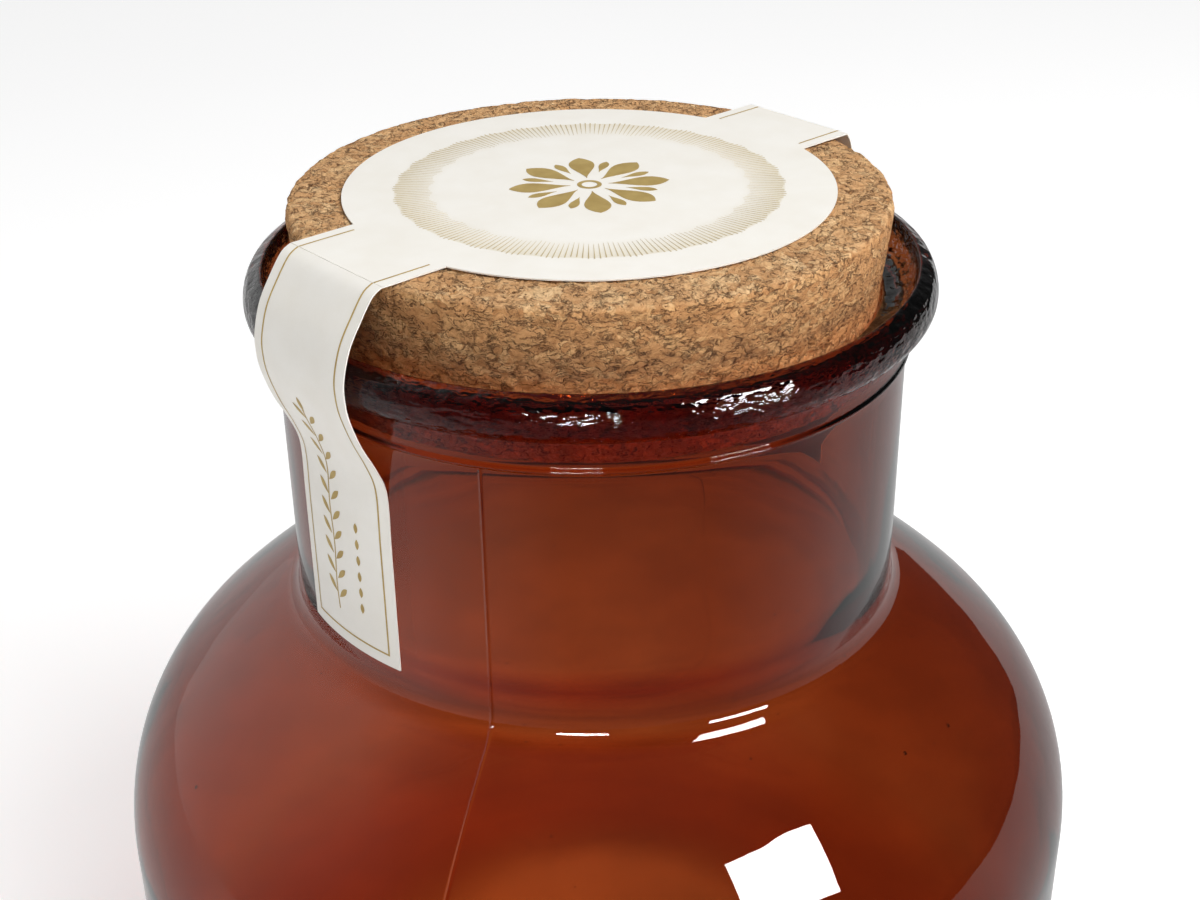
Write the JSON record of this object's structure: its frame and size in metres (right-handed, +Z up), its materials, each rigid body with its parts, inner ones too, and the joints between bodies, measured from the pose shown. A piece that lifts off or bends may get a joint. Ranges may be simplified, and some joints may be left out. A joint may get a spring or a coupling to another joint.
{
  "type": "candle jar",
  "caption": "Round-shouldered coloured glass apothecary candle jar, empty, with a tapered cork stopper and a slit paper seal.",
  "frame": {"origin": "middle of the foot, on the surface that the jar stands on", "axes": "+Z up along the jar's axis, -Y towards the front tab of the seal"},
  "size_m": [0.212, 0.212, 0.2207],
  "materials": {
    "glass": "glossy amber-red glass",
    "cork": "agglomerated cork, matt",
    "paper": "coated paper, satin, printed in gold"
  },
  "bodies": {
    "jar": {"glass_jar": "glass", "seal_tab_front": "paper", "seal_tab_rear": "paper"},
    "lid": {"cork_stopper": "cork", "seal_disc": "paper"}
  },
  "joints": [
    {"name": "lid_lift", "type": "slide", "parent": "jar", "child": "lid", "axis": [0, 0, 1], "range_m": [0, 0.06]}
  ]
}
